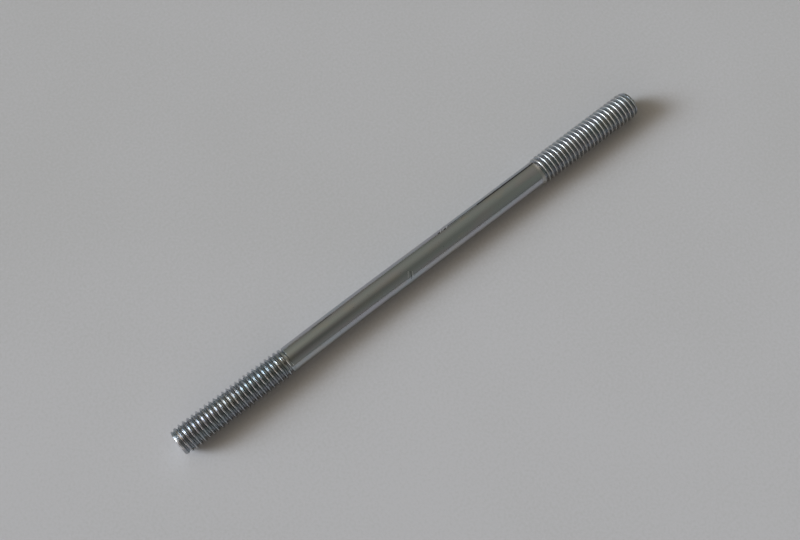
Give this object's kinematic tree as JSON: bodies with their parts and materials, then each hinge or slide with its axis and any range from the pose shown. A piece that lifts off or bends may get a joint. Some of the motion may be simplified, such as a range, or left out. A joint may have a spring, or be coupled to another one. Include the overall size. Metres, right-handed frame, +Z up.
{
  "type": "cylinder stud",
  "caption": "Slim double-ended steel stud with a rolled right-hand thread on each end, a plain shank of reduced diameter and rounded points. It ties an engine cylinder to its crankcase.",
  "frame": {"origin": "on the surface that the stud lies on, below the middle of its length", "axes": "+X along the stud's axis towards the nut end, +Z up, +Y across the stud"},
  "size_m": [0.1134, 0.0058, 0.0058],
  "materials": {
    "zinc_plate": "bright zinc plate with a faint blue passivate over drawn steel, satin along the shank and brighter on the thread crests"
  },
  "bodies": {
    "root": {"stud": "zinc_plate"}
  },
  "joints": []
}
